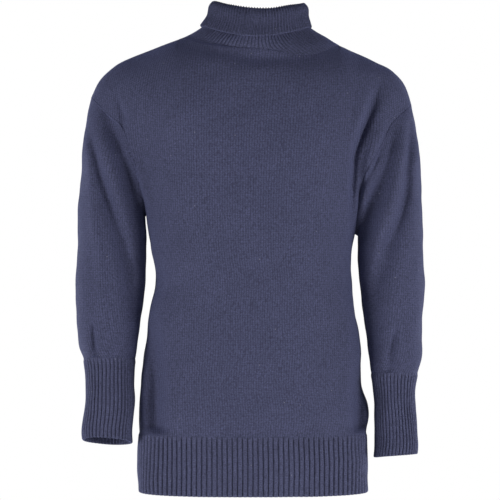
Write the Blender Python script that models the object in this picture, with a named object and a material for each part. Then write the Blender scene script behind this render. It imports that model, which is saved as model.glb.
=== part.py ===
"""Wool sweater with a rolled-over turtle neck, hollow and filled out as if worn.

Metres, +Z up. The front faces -Y and the right sleeve lies at -X. The origin is at the base
of the neck, between the shoulders. Each piece is a thin closed shell round one shared middle
surface, so neighbours meet along their seams with a small gap.
"""
import bpy
import numpy as np
from collections import namedtuple
from math import pi

# Walls and seams
CLOTH = 0.0025
RIBBING = 0.0032
SEAM_GAP = 0.0003
COLLECTION = "turtleneck_sweater"

# Faces across a half panel and along each piece
HALF_COLUMNS = 12
BODY_STEPS = 8
YOKE_STEPS = 9
HEM_STEPS = 2
SLEEVE_STEPS = 13
CUFF_STEPS = 3

# Body sections of the cloth's outside, from the hem edge up to the armholes. Each gives the side
# seams at the right and the left, and how far the front and the back stand from the middle plane.
BodyRow = namedtuple("BodyRow", "right_x right_z left_x left_z front back")
BODY_ROWS = (
    BodyRow(right_x=-0.1695, right_z=-0.6760, left_x=0.1720, left_z=-0.6760, front=0.088, back=0.086),
    BodyRow(right_x=-0.1695, right_z=-0.6300, left_x=0.1725, left_z=-0.6300, front=0.089, back=0.087),
    BodyRow(right_x=-0.1690, right_z=-0.5880, left_x=0.1710, left_z=-0.5880, front=0.090, back=0.088),
    BodyRow(right_x=-0.1700, right_z=-0.5580, left_x=0.1750, left_z=-0.5580, front=0.095, back=0.092),
    BodyRow(right_x=-0.1665, right_z=-0.5160, left_x=0.1640, left_z=-0.5160, front=0.099, back=0.094),
    BodyRow(right_x=-0.1590, right_z=-0.4560, left_x=0.1620, left_z=-0.4560, front=0.102, back=0.095),
    BodyRow(right_x=-0.1540, right_z=-0.4080, left_x=0.1553, left_z=-0.4080, front=0.105, back=0.096),
    BodyRow(right_x=-0.1435, right_z=-0.3600, left_x=0.1488, left_z=-0.3620, front=0.108, back=0.099),
    BodyRow(right_x=-0.1515, right_z=-0.3080, left_x=0.1490, left_z=-0.3260, front=0.112, back=0.104),
    BodyRow(right_x=-0.1578, right_z=-0.2620, left_x=0.1537, left_z=-0.2900, front=0.114, back=0.107),
)
HEM_ROWS = 3
BODY_ROUNDNESS = 0.085

# Armhole seams, from the underarm up to the shoulder point
SeamPoint = namedtuple("SeamPoint", "x z front back")
ARMHOLES = {
    "right": (
        SeamPoint(x=-0.15655, z=-0.2620, front=0.000, back=0.000),
        SeamPoint(x=-0.1600, z=-0.2400, front=0.025, back=0.023),
        SeamPoint(x=-0.1670, z=-0.2080, front=0.046, back=0.043),
        SeamPoint(x=-0.1755, z=-0.1780, front=0.056, back=0.053),
        SeamPoint(x=-0.1840, z=-0.1510, front=0.058, back=0.055),
        SeamPoint(x=-0.1950, z=-0.1290, front=0.052, back=0.050),
        SeamPoint(x=-0.2110, z=-0.1140, front=0.042, back=0.041),
        SeamPoint(x=-0.2270, z=-0.0990, front=0.030, back=0.030),
        SeamPoint(x=-0.2365, z=-0.0895, front=0.016, back=0.016),
        SeamPoint(x=-0.2400, z=-0.0850, front=0.000, back=0.000),
    ),
    "left": (
        SeamPoint(x=0.15245, z=-0.2900, front=0.000, back=0.000),
        SeamPoint(x=0.1545, z=-0.2620, front=0.026, back=0.024),
        SeamPoint(x=0.1600, z=-0.2250, front=0.046, back=0.043),
        SeamPoint(x=0.1690, z=-0.1960, front=0.056, back=0.053),
        SeamPoint(x=0.1800, z=-0.1740, front=0.059, back=0.056),
        SeamPoint(x=0.1940, z=-0.1520, front=0.056, back=0.053),
        SeamPoint(x=0.2050, z=-0.1300, front=0.048, back=0.046),
        SeamPoint(x=0.2210, z=-0.1130, front=0.034, back=0.033),
        SeamPoint(x=0.2330, z=-0.1015, front=0.019, back=0.019),
        SeamPoint(x=0.2385, z=-0.0960, front=0.000, back=0.000),
    ),
}

# Line of the shoulders from the right shoulder point to the left one. The columns at plus and
# minus NECK_COLUMN end at the corners of the neck; between them the line only guides the cloth.
Ridge = namedtuple("Ridge", "across x z")
SHOULDER_LINE = (
    Ridge(across=-1.00, x=-0.2400, z=-0.0850),
    Ridge(across=-0.94, x=-0.2300, z=-0.0640),
    Ridge(across=-0.84, x=-0.2080, z=-0.0430),
    Ridge(across=-0.72, x=-0.1760, z=-0.0265),
    Ridge(across=-0.61, x=-0.1430, z=-0.0135),
    Ridge(across=-0.50, x=-0.1100, z=0.0000),
    Ridge(across=-0.25, x=-0.0490, z=0.0160),
    Ridge(across=0.00, x=0.0105, z=0.0230),
    Ridge(across=0.25, x=0.0700, z=0.0090),
    Ridge(across=0.50, x=0.1310, z=-0.0110),
    Ridge(across=0.61, x=0.1580, z=-0.0228),
    Ridge(across=0.72, x=0.1850, z=-0.0350),
    Ridge(across=0.84, x=0.2110, z=-0.0495),
    Ridge(across=0.94, x=0.2310, z=-0.0730),
    Ridge(across=1.00, x=0.2385, z=-0.0960),
)
NECK_COLUMN = 0.5
TOUCH = 1e-9

# How the columns run from the armholes' level to the shoulder line, from the middle out: their
# reach up from the chest, over the shoulder and up into the line
Run = namedtuple("Run", "across rise over up")
FRONT_RUNS = (
    Run(across=0.00, rise=0.38, over=0.35, up=0.00),
    Run(across=0.25, rise=0.36, over=0.34, up=0.00),
    Run(across=0.50, rise=0.32, over=0.30, up=0.00),
    Run(across=0.75, rise=0.28, over=0.25, up=0.00),
    Run(across=1.00, rise=0.26, over=0.22, up=0.00),
)
BACK_RUNS = (
    Run(across=0.00, rise=0.40, over=0.30, up=-0.15),
    Run(across=0.25, rise=0.38, over=0.30, up=-0.11),
    Run(across=0.50, rise=0.32, over=0.28, up=-0.02),
    Run(across=0.75, rise=0.28, over=0.25, up=0.00),
    Run(across=1.00, rise=0.26, over=0.22, up=0.00),
)
CHEST_FULLNESS = 0.012
CHEST_SAMPLE = 0.004
ARMHOLE_REACH = 0.45

# Sleeve sections of the cloth's outside, from the shoulder point down to the cuff end: the edges
# seen from the front, and the front and back seen from the side
SleeveRow = namedtuple("SleeveRow", "z outer inner front back")
SLEEVES = {
    "right": (
        SleeveRow(z=-0.0850, outer=-0.2400, inner=-0.1580, front=-0.050, back=0.050),
        SleeveRow(z=-0.1200, outer=-0.2465, inner=-0.1600, front=-0.059, back=0.058),
        SleeveRow(z=-0.1600, outer=-0.2535, inner=-0.1610, front=-0.064, back=0.063),
        SleeveRow(z=-0.2100, outer=-0.2570, inner=-0.1610, front=-0.065, back=0.064),
        SleeveRow(z=-0.2620, outer=-0.2600, inner=-0.1608, front=-0.064, back=0.061),
        SleeveRow(z=-0.3000, outer=-0.2615, inner=-0.1588, front=-0.063, back=0.058),
        SleeveRow(z=-0.3500, outer=-0.2635, inner=-0.1585, front=-0.062, back=0.053),
        SleeveRow(z=-0.3960, outer=-0.2630, inner=-0.1633, front=-0.061, back=0.047),
        SleeveRow(z=-0.4320, outer=-0.2610, inner=-0.1682, front=-0.061, back=0.039),
        SleeveRow(z=-0.4620, outer=-0.2565, inner=-0.1720, front=-0.061, back=0.031),
        SleeveRow(z=-0.4780, outer=-0.2500, inner=-0.1742, front=-0.061, back=0.024),
        SleeveRow(z=-0.5100, outer=-0.2465, inner=-0.1768, front=-0.063, back=0.017),
        SleeveRow(z=-0.5500, outer=-0.2485, inner=-0.1755, front=-0.066, back=0.012),
        SleeveRow(z=-0.5800, outer=-0.2515, inner=-0.1785, front=-0.069, back=0.009),
        SleeveRow(z=-0.6130, outer=-0.2475, inner=-0.1800, front=-0.071, back=0.005),
    ),
    "left": (
        SleeveRow(z=-0.0960, outer=0.2385, inner=0.1580, front=-0.050, back=0.050),
        SleeveRow(z=-0.1300, outer=0.2435, inner=0.1600, front=-0.059, back=0.058),
        SleeveRow(z=-0.1650, outer=0.2495, inner=0.1610, front=-0.064, back=0.063),
        SleeveRow(z=-0.2200, outer=0.2542, inner=0.1615, front=-0.065, back=0.064),
        SleeveRow(z=-0.2900, outer=0.2557, inner=0.1585, front=-0.063, back=0.060),
        SleeveRow(z=-0.3240, outer=0.2572, inner=0.1588, front=-0.062, back=0.057),
        SleeveRow(z=-0.3600, outer=0.2575, inner=0.1618, front=-0.060, back=0.053),
        SleeveRow(z=-0.4050, outer=0.2563, inner=0.1645, front=-0.058, back=0.048),
        SleeveRow(z=-0.4450, outer=0.2547, inner=0.1712, front=-0.056, back=0.042),
        SleeveRow(z=-0.4800, outer=0.2527, inner=0.1760, front=-0.054, back=0.034),
        SleeveRow(z=-0.4990, outer=0.2462, inner=0.1788, front=-0.052, back=0.026),
        SleeveRow(z=-0.5300, outer=0.2420, inner=0.1825, front=-0.050, back=0.019),
        SleeveRow(z=-0.5700, outer=0.2455, inner=0.1842, front=-0.051, back=0.016),
        SleeveRow(z=-0.6000, outer=0.2465, inner=0.1845, front=-0.052, back=0.015),
        SleeveRow(z=-0.6300, outer=0.2430, inner=0.1810, front=-0.053, back=0.013),
    ),
}
SLEEVE_ROUNDNESS = 0.03

# How far down a sleeve the armhole still shapes it, at the underarm, where the sleeve leaves the
# body on a short ledge, and at the shoulder, reached quickly on the way up
UNDERARM_HEAD = 0.003
SHOULDER_HEAD = 0.070
HEAD_RISE = 1.5

# Level rings where a sleeve meets its cuff and where the cuff ends. A ring's back lies lower
# than its front by twice its tilt, because the forearm leans forward, and its inner side lower
# than its outer one by twice its lean.
CuffRing = namedtuple("CuffRing", "z tilt lean")
CUFF_TOPS = {
    "right": CuffRing(z=-0.4775, tilt=0.0040, lean=0.0),
    "left": CuffRing(z=-0.4985, tilt=0.0020, lean=0.0),
}
CUFF_ENDS = {
    "right": CuffRing(z=-0.5990, tilt=0.0085, lean=0.0020),
    "left": CuffRing(z=-0.6215, tilt=0.0028, lean=0.0026),
}

# The neck seam seen from above: an oval behind, and flatter across the front. The powers are those
# of its share across and its share in depth.
NECK_MIDDLE = 0.0105
NECK_HALF = 0.1205
NECK_DEPTHS = {"front": 0.079, "back": 0.072}
NECK_ACROSS_POWER = {"front": 4.0, "back": 2.0}
NECK_DEPTH_POWER = {"front": 1.5, "back": 2.0}

# Where the search for the neck seam starts on each column, and its steps
SEARCH_START = 0.3
SEARCH_STEPS = 30

# Collar rings along the ribbing above the neck seam: base, stand, fold, turnover and free edge
CollarRing = namedtuple("CollarRing", "middle half front back side_z front_z back_z slant")
COLLAR_RINGS = (
    CollarRing(middle=0.0070, half=0.1035, front=0.0765, back=0.0680,
               side_z=0.0030, front_z=-0.0215, back_z=0.0110, slant=-0.0020),
    CollarRing(middle=0.0055, half=0.0875, front=0.0740, back=0.0640,
               side_z=0.0105, front_z=-0.0125, back_z=0.0180, slant=-0.0010),
    CollarRing(middle=0.0065, half=0.0740, front=0.0705, back=0.0600,
               side_z=0.0205, front_z=-0.0015, back_z=0.0260, slant=-0.0010),
    CollarRing(middle=0.0085, half=0.0680, front=0.0668, back=0.0560,
               side_z=0.0360, front_z=0.0160, back_z=0.0380, slant=-0.0010),
    CollarRing(middle=0.0090, half=0.0648, front=0.0648, back=0.0535,
               side_z=0.0500, front_z=0.0345, back_z=0.0480, slant=-0.0015),
    CollarRing(middle=0.0090, half=0.0682, front=0.0682, back=0.0568,
               side_z=0.0535, front_z=0.0390, back_z=0.0510, slant=-0.0015),
    CollarRing(middle=0.0090, half=0.0716, front=0.0716, back=0.0602,
               side_z=0.0500, front_z=0.0345, back_z=0.0480, slant=-0.0015),
    CollarRing(middle=0.0085, half=0.0750, front=0.0738, back=0.0640,
               side_z=0.0355, front_z=0.0170, back_z=0.0340, slant=-0.0010),
    CollarRing(middle=0.0070, half=0.0800, front=0.0765, back=0.0695,
               side_z=0.0255, front_z=0.0045, back_z=0.0210, slant=-0.0010),
    CollarRing(middle=0.0060, half=0.0832, front=0.0780, back=0.0735,
               side_z=0.0195, front_z=-0.0020, back_z=0.0125, slant=-0.0010),
)

# The largest folds, seen from the front: soft troughs and ridges along a bent line of three
# points, with their height from the cloth and their half width. They fade at their ends and
# near the seams.
Fold = namedtuple("Fold", "piece face start middle end height width")
FOLDS = (
    Fold("sleeve_right", "front", (-0.224, -0.106), (-0.197, -0.170), (-0.164, -0.262), -0.009, 0.016),
    Fold("sleeve_right", "front", (-0.238, -0.150), (-0.222, -0.205), (-0.198, -0.280), -0.005, 0.016),
    Fold("sleeve_right", "back", (-0.228, -0.115), (-0.205, -0.175), (-0.170, -0.262), -0.008, 0.018),
    Fold("sleeve_left", "front", (0.217, -0.122), (0.196, -0.180), (0.170, -0.275), -0.008, 0.018),
    Fold("sleeve_left", "front", (0.228, -0.270), (0.205, -0.330), (0.186, -0.405), -0.004, 0.016),
    Fold("sleeve_left", "back", (0.222, -0.125), (0.200, -0.190), (0.166, -0.285), -0.008, 0.018),
    Fold("back", "back", (-0.150, -0.170), (-0.090, -0.220), (-0.020, -0.245), -0.004, 0.020),
    Fold("back", "back", (0.150, -0.180), (0.085, -0.235), (0.020, -0.262), -0.004, 0.020),
)
FOLD_POINTS = 13
FOLD_ENDS = 0.08
SEAM_CALM = 0.012

NAVY = (0.063, 0.068, 0.132, 1.0)
RIB_NAVY = (0.061, 0.065, 0.124, 1.0)
ROUGHNESS = 0.9
SHARP_ANGLE = pi / 4
WELD_DECIMALS = 6


def smooth(knots, values, at):
    """Read a smooth curve through the values at the knots."""
    knots = np.asarray(knots, dtype=float)
    values = np.asarray(values, dtype=float)
    slopes = np.gradient(values, knots, axis=0)
    at = np.clip(np.asarray(at, dtype=float), knots[0], knots[-1])
    low = np.clip(np.searchsorted(knots, at, side="right") - 1, 0, len(knots) - 2)
    span = (knots[low + 1] - knots[low])[..., None]
    part = (at - knots[low])[..., None] / span
    rest = 1 - part
    first = values[low] * (1 + 2 * part) * rest ** 2 + slopes[low] * span * part * rest ** 2
    second = values[low + 1] * part ** 2 * (3 - 2 * part) - slopes[low + 1] * span * part ** 2 * rest
    return first + second


def along(points, at):
    """Read a smooth curve through the points, where at runs from 0 to 1 by their distance."""
    points = np.asarray(points, dtype=float)
    steps = np.linalg.norm(np.diff(points, axis=0), axis=1)
    knots = np.concatenate(([0.0], np.cumsum(steps))) / steps.sum()
    return smooth(knots, points, at)


def ease(value):
    """Go smoothly from 0 to 1."""
    value = np.clip(value, 0.0, 1.0)
    return value * value * (3 - 2 * value)


def body_height(row):
    return (row.right_z + row.left_z) / 2


BODY_HEIGHTS = [body_height(row) for row in BODY_ROWS]
RIB_LINE = BODY_HEIGHTS[HEM_ROWS - 1]
CHEST_LINE = BODY_HEIGHTS[-1]


def body_point(across, height, face):
    """A point of the body below the armholes; across runs from -1 at the right to 1 at the left."""
    row = np.moveaxis(smooth(BODY_HEIGHTS, BODY_ROWS, height), -1, 0)
    right_x, right_z, left_x, left_z, front, back = row
    right_x = right_x + CLOTH / 2
    left_x = left_x - CLOTH / 2
    front = front - CLOTH / 2
    back = back - CLOTH / 2
    angle = across * pi / 2
    swell = 1 + BODY_ROUNDNESS * np.sin(2 * angle) ** 2
    share = (1 + np.sin(angle) * swell) / 2
    x = right_x + (left_x - right_x) * share
    y = np.cos(angle) * swell * (-front if face == "front" else back)
    z = right_z + (left_z - right_z) * share
    return np.stack(np.broadcast_arrays(x, y, z), axis=-1)


def ring_point(ring, angle):
    """A point of a collar ring; the angle is 0 at the left, pi / 2 in front, pi at the right."""
    turn = np.sin(angle)
    depth = np.where(turn > 0, ring.front, ring.back)
    end_z = np.where(turn > 0, ring.front_z, ring.back_z)
    x = ring.middle + ring.half * np.cos(angle)
    y = -depth * turn
    z = ring.side_z + (end_z - ring.side_z) * turn ** 2 + ring.slant * np.cos(angle)
    return np.stack((x, y, z), axis=-1)


def armhole_point(side, up, face):
    """A point of an armhole seam; up runs from 0 at the underarm to 1 at the shoulder point."""
    x, z, front, back = np.moveaxis(along(ARMHOLES[side], up), -1, 0)
    y = -front if face == "front" else back
    return np.stack((x, y, z), axis=-1)


def yoke_point(across, up, face):
    """A point of the panel above the armholes' lower ends; up runs from 0 to the shoulders at 1."""
    across, up = np.broadcast_arrays(across, up)
    outward = -1 if face == "front" else 1
    low = body_point(across, CHEST_LINE, face)
    climb = (low - body_point(across, CHEST_LINE - CHEST_SAMPLE, face)) / CHEST_SAMPLE
    _, x, z = np.moveaxis(smooth([row.across for row in SHOULDER_LINE], SHOULDER_LINE, across), -1, 0)
    high = np.stack((x, np.zeros_like(x), z), axis=-1)
    runs = FRONT_RUNS if face == "front" else BACK_RUNS
    table = smooth([row.across for row in runs], runs, np.abs(across))
    _, rise, over, rise_end = np.moveaxis(table, -1, 0)
    leaving = climb * rise[..., None]
    arriving = np.stack((np.zeros_like(x), -outward * over, rise_end), axis=-1)
    part = up[..., None]
    rest = 1 - part
    point = (low * (1 + 2 * part) * rest ** 2 + leaving * part * rest ** 2
             + high * part ** 2 * (3 - 2 * part) - arriving * part ** 2 * rest)
    full = CHEST_FULLNESS * np.sin(pi * across) ** 2 * np.sin(pi * up) ** 2
    point[..., 1] += outward * full
    return point


def yoke_edge_error(side, up, face):
    """How far the plain yoke's side edge lies from the armhole seam."""
    edge = np.full(np.shape(up), -1.0 if side == "right" else 1.0)
    return armhole_point(side, up, face) - yoke_point(edge, up, face)


def fitted_yoke(across, up, face):
    """The yoke drawn in to the armhole seams."""
    across, up = np.broadcast_arrays(across, up)
    near = ease((np.abs(across) - (1 - ARMHOLE_REACH)) / ARMHOLE_REACH)[..., None]
    right = yoke_edge_error("right", up, face)
    left = yoke_edge_error("left", up, face)
    pull = np.where((across < 0)[..., None], right, left)
    return yoke_point(across, up, face) + pull * near


def neck_excess(across, up, face):
    """Below 0 where the yoke's point lies inside the neck seam, seen from above."""
    point = fitted_yoke(across, up, face)
    x = np.abs(point[..., 0] - NECK_MIDDLE) / NECK_HALF
    y = np.abs(point[..., 1]) / NECK_DEPTHS[face]
    return x ** NECK_ACROSS_POWER[face] + y ** NECK_DEPTH_POWER[face] - 1


def column_top(across, face):
    """How far up each column runs: to the neck seam, or to the shoulder line at 1."""
    low = np.full(np.shape(across), SEARCH_START)
    high = np.ones(np.shape(across))
    for _ in range(SEARCH_STEPS):
        middle = (low + high) / 2
        outside = neck_excess(across, middle, face) > 0
        low = np.where(outside, middle, low)
        high = np.where(outside, high, middle)
    return np.where(np.abs(across) >= NECK_COLUMN - TOUCH, 1.0, high)


def sleeve_section(side, z, angle):
    """A point of a level sleeve section; the angle is 0 outside, pi / 2 in front, pi inside."""
    rows = SLEEVES[side][::-1]
    heights = [row.z for row in rows]
    _, outer, inner, front, back = np.moveaxis(smooth(heights, rows, z), -1, 0)
    swell = 1 + SLEEVE_ROUNDNESS * np.sin(2 * angle) ** 2
    wall = -CLOTH / 2 if side == "left" else CLOTH / 2
    x = (outer + inner) / 2 + ((outer - inner) / 2 + wall) * np.cos(angle) * swell
    y = (front + back) / 2 + ((front - back) / 2 + CLOTH / 2) * np.sin(angle) * swell
    return np.stack(np.broadcast_arrays(x, y, z), axis=-1)


def ring_height(ring, angle):
    return ring.z + ring.tilt * np.sin(angle) + ring.lean * np.cos(angle)


def sleeve_point(side, angle, down):
    """A point of a sleeve; down runs from -1 at the armhole, 0 below the ledge, to 1 at the cuff."""
    angle, down = np.broadcast_arrays(angle, down)
    up = 1 - np.abs(angle) / pi
    front = armhole_point(side, up, "front")
    back = armhole_point(side, up, "back")
    start = np.where((angle >= 0)[..., None], front, back)
    end_z = ring_height(CUFF_TOPS[side], angle)
    whole = start[..., 2] - end_z
    reach = UNDERARM_HEAD * (1 + np.minimum(down, 0)) + (whole - UNDERARM_HEAD) * np.maximum(down, 0)
    z = start[..., 2] - reach
    head = UNDERARM_HEAD + (SHOULDER_HEAD - UNDERARM_HEAD) * ease(up * HEAD_RISE)
    held = 1 - ease(reach / head)
    shift = start - sleeve_section(side, start[..., 2], angle)
    return sleeve_section(side, z, angle) + shift * held[..., None]


def cuff_point(side, angle, down):
    """A point of a cuff; down runs from 0 at the sleeve to 1 at the free edge."""
    top = ring_height(CUFF_TOPS[side], angle)
    end = ring_height(CUFF_ENDS[side], angle)
    return sleeve_section(side, top + (end - top) * down, angle)


def grid(first, second):
    """Two sets of steps as a grid, one row for each of the first."""
    return np.meshgrid(first, second, indexing="ij")


def column_places():
    """The places of a panel's columns, closer together by the corners of the neck."""
    even = np.linspace(-1, 1, 2 * HALF_COLUMNS + 1)
    inside = np.clip(even / NECK_COLUMN, -1, 1)
    drawn = NECK_COLUMN * (inside + np.sin(inside * pi / 2)) / 2
    return np.where(np.abs(even) < NECK_COLUMN, drawn, even)


def panel(face):
    heights, across = grid(np.linspace(RIB_LINE, CHEST_LINE, BODY_STEPS + 1)[:-1], column_places())
    lower = body_point(across, heights, face)
    ups, across = grid(np.linspace(0, 1, YOKE_STEPS + 1), column_places())
    return np.concatenate((lower, fitted_yoke(across, ups * column_top(column_places(), face), face)))


def hem_rib(face):
    heights, across = grid(np.linspace(BODY_HEIGHTS[0], RIB_LINE, HEM_STEPS + 1), column_places())
    return body_point(across, heights, face)


def sleeve_angles():
    """Angles round a sleeve that start and end outside and match the yoke's rows."""
    return np.linspace(0, 2 * pi, 2 * YOKE_STEPS + 1)[:-1]


def signed(angles):
    return np.where(angles > pi, angles - 2 * pi, angles)


def sleeve(side):
    steps = np.concatenate(([-1.0], np.linspace(0, 1, SLEEVE_STEPS + 1)))
    downs, angles = grid(steps, signed(sleeve_angles()))
    return sleeve_point(side, angles, downs)


def cuff(side):
    downs, angles = grid(np.linspace(0, 1, CUFF_STEPS + 1), signed(sleeve_angles()))
    return cuff_point(side, angles, downs)


def neck_seam(face):
    """The top of a panel between the corners of the neck, from left to right."""
    across = column_places()[::-1]
    across = across[np.abs(across) < NECK_COLUMN + TOUCH]
    return fitted_yoke(across, column_top(across, face), face)


def collar():
    seam = np.concatenate((neck_seam("front")[:-1], neck_seam("back")[::-1][:-1]))
    depths = np.where(seam[:, 1] < 0, NECK_DEPTHS["front"], NECK_DEPTHS["back"])
    angles = np.arctan2(-seam[:, 1] / depths, (seam[:, 0] - NECK_MIDDLE) / NECK_HALF)
    rings = [ring_point(ring, angles) for ring in COLLAR_RINGS]
    return np.array([seam] + rings)[:, ::-1]


def surface_normals(points, closed):
    """Unit normals of a grid, by the slopes along and across it."""
    ring = np.concatenate((points[:, -1:], points, points[:, :1]), axis=1) if closed else points
    slope_across = np.gradient(ring, axis=1)
    if closed:
        slope_across = slope_across[:, 1:-1]
    normals = np.cross(slope_across, np.gradient(points, axis=0))
    return normals / np.linalg.norm(normals, axis=-1, keepdims=True)


def fold_line(fold):
    """Points of a fold's bent line, from above."""
    part = np.linspace(0, 1, FOLD_POINTS)[:, None]
    start, middle, end = (np.array(place) for place in (fold.start, fold.middle, fold.end))
    bend = 2 * middle - (start + end) / 2
    return start * (1 - part) ** 2 + bend * 2 * part * (1 - part) + end * part ** 2


def crease(points, name, closed):
    """Press the piece's folds into it, leaving its seams in place."""
    normals = surface_normals(points, closed)
    away = np.linalg.norm(points - points[:1], axis=-1)
    before = np.linalg.norm(points - points[-1:], axis=-1)
    calm = ease(np.minimum(away, before) / SEAM_CALM)
    if not closed:
        from_right = np.linalg.norm(points - points[:, :1], axis=-1)
        from_left = np.linalg.norm(points - points[:, -1:], axis=-1)
        calm = calm * ease(np.minimum(from_right, from_left) / SEAM_CALM)
    moved = points.copy()
    middle_y = points[..., 1].mean(axis=1, keepdims=True) if closed else 0.0
    for fold in (item for item in FOLDS if item.piece == name):
        line = fold_line(fold)
        gaps = points[..., None, [0, 2]] - line
        distance = np.linalg.norm(gaps, axis=-1)
        nearest = distance.argmin(axis=-1) / (FOLD_POINTS - 1)
        press = fold.height * np.exp(-(distance.min(axis=-1) / fold.width) ** 2)
        press = press * np.sqrt(np.sin(pi * np.clip(nearest, FOLD_ENDS, 1 - FOLD_ENDS))) * calm
        facing = points[..., 1] - middle_y
        seen = facing < 0 if fold.face == "front" else facing > 0
        moved += normals * np.where(seen, press, 0.0)[..., None]
    return moved


def corner_normals(points, closed):
    """Normals of a grid's points: those of the faces round each, weighted by their angles."""
    ring = np.concatenate((points, points[:, :1]), axis=1) if closed else points
    corners = np.stack((ring[:-1, :-1], ring[:-1, 1:], ring[1:, 1:], ring[1:, :-1]))
    after = np.roll(corners, -1, axis=0) - corners
    before = np.roll(corners, 1, axis=0) - corners
    cross = np.cross(after, before)
    size = np.linalg.norm(cross, axis=-1, keepdims=True)
    angles = np.arctan2(size, (after * before).sum(axis=-1, keepdims=True))
    shares = cross / size * angles
    totals = np.zeros_like(ring)
    totals[:-1, :-1] += shares[0]
    totals[:-1, 1:] += shares[1]
    totals[1:, 1:] += shares[2]
    totals[1:, :-1] += shares[3]
    if closed:
        totals[:, 0] += totals[:, -1]
        totals = totals[:, :-1]
    return totals


def shared_normals(grids):
    """Unit normals at every point, the same for all the pieces that meet there."""
    sums = {}
    own = {name: corner_normals(points, closed) for name, (points, closed) in grids.items()}
    keys = {name: np.round(grids[name][0].reshape(-1, 3), WELD_DECIMALS) for name in grids}
    for name, normals in own.items():
        for key, normal in zip(map(tuple, keys[name]), normals.reshape(-1, 3)):
            sums[key] = sums.get(key, 0) + normal
    shared = {}
    for name, (points, closed) in grids.items():
        normals = np.array([sums[key] for key in map(tuple, keys[name])]).reshape(points.shape)
        shared[name] = normals / np.linalg.norm(normals, axis=-1, keepdims=True)
    return shared


def trim(edge, inner, normals, wrap):
    """The way that draws an open edge back by half the seam gap, square to seam and wall."""
    if wrap:
        run = np.roll(edge, -1, axis=0) - np.roll(edge, 1, axis=0)
    else:
        run = np.gradient(edge, axis=0)
    way = np.cross(run, normals)
    way = way * np.sign(((inner - edge) * way).sum(axis=-1, keepdims=True))
    return way / np.linalg.norm(way, axis=-1, keepdims=True) * SEAM_GAP / 2


def trimmed(points, normals, closed):
    """The grid with its open edges drawn back from their seams."""
    result = points.copy()
    result[0] += trim(points[0], points[1], normals[0], closed)
    result[-1] += trim(points[-1], points[-2], normals[-1], closed)
    if not closed:
        result[:, 0] += trim(points[:, 0], points[:, 1], normals[:, 0], False)
        result[:, -1] += trim(points[:, -1], points[:, -2], normals[:, -1], False)
    return result


def shell(name, points, normals, closed, thickness, colour):
    """Make a closed wall of the given thickness round a grid of points."""
    rows, places = points.shape[:2]
    outer = points + normals * thickness / 2
    inner = points - normals * thickness / 2
    vertices = np.concatenate((outer.reshape(-1, 3), inner.reshape(-1, 3)))
    layer = rows * places

    def at(i, j, side):
        return side * layer + i * places + j % places

    def rim(a, b):
        """The wall's edge from a to b, split the same way on both sides of a seam."""
        a, b = ((i, j % places) for i, j in (a, b))
        rise = np.dot(points[b] - points[a], normals[a] + normals[b])
        if rise > 0:
            return (at(*a, 1), at(*b, 1), at(*a, 0)), (at(*b, 1), at(*b, 0), at(*a, 0))
        return (at(*a, 1), at(*b, 1), at(*b, 0)), (at(*a, 1), at(*b, 0), at(*a, 0))

    faces = []
    spans = places if closed else places - 1
    for i in range(rows - 1):
        for j in range(spans):
            faces.append((at(i, j, 0), at(i, j + 1, 0), at(i + 1, j + 1, 0), at(i + 1, j, 0)))
            faces.append((at(i + 1, j, 1), at(i + 1, j + 1, 1), at(i, j + 1, 1), at(i, j, 1)))
    for j in range(spans):
        faces.extend(rim((0, j), (0, j + 1)))
        faces.extend(rim((rows - 1, j + 1), (rows - 1, j)))
    if not closed:
        for i in range(rows - 1):
            faces.extend(rim((i + 1, 0), (i, 0)))
            faces.extend(rim((i, places - 1), (i + 1, places - 1)))
    mesh = bpy.data.meshes.new(name)
    mesh.from_pydata(vertices.tolist(), [], faces)
    mesh.update()
    mesh.shade_smooth()
    mesh.set_sharp_from_angle(angle=SHARP_ANGLE)
    mesh.materials.append(wool(name, colour))
    piece = bpy.data.objects.new(name, mesh)
    bpy.data.collections[COLLECTION].objects.link(piece)
    return piece


def wool(name, colour):
    """The piece's own material."""
    material = bpy.data.materials.new(name + "_wool")
    material.use_nodes = True
    shader = material.node_tree.nodes["Principled BSDF"]
    shader.inputs["Base Color"].default_value = colour
    shader.inputs["Roughness"].default_value = ROUGHNESS
    shader.inputs["Metallic"].default_value = 0.0
    return material


def clear():
    for item in list(bpy.data.objects):
        bpy.data.objects.remove(item)
    collection = bpy.data.collections.new(COLLECTION)
    bpy.context.scene.collection.children.link(collection)


def build():
    clear()
    # Each grid's rows run so that its normals point out of the garment
    grids = {
        "front": (panel("front"), False),
        "back": (panel("back")[:, ::-1], False),
        "hem_rib_front": (hem_rib("front"), False),
        "hem_rib_back": (hem_rib("back")[:, ::-1], False),
        "collar": (collar(), True),
    }
    for side in ("right", "left"):
        turn = 1 if side == "left" else -1
        grids["sleeve_" + side] = (sleeve(side)[:, ::turn], True)
        grids["cuff_" + side] = (cuff(side)[:, ::turn], True)
    for name, (points, closed) in grids.items():
        grids[name] = (crease(points, name, closed), closed)
    normals = shared_normals(grids)
    for name, (points, closed) in grids.items():
        ribbed = name.startswith(("hem", "cuff", "collar"))
        thickness, colour = (RIBBING, RIB_NAVY) if ribbed else (CLOTH, NAVY)
        drawn = trimmed(points, normals[name], closed)
        shell(name, drawn, normals[name], closed, thickness, colour)


build()
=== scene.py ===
"""Looks of the turtleneck sweater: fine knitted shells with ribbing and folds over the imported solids.

Metres, +Z up. The front faces -Y and the wearer's right sleeve lies at -X.
"""
from collections import namedtuple
from math import pi

import bpy
import numpy as np
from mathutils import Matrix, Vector
from mathutils.kdtree import KDTree


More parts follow.
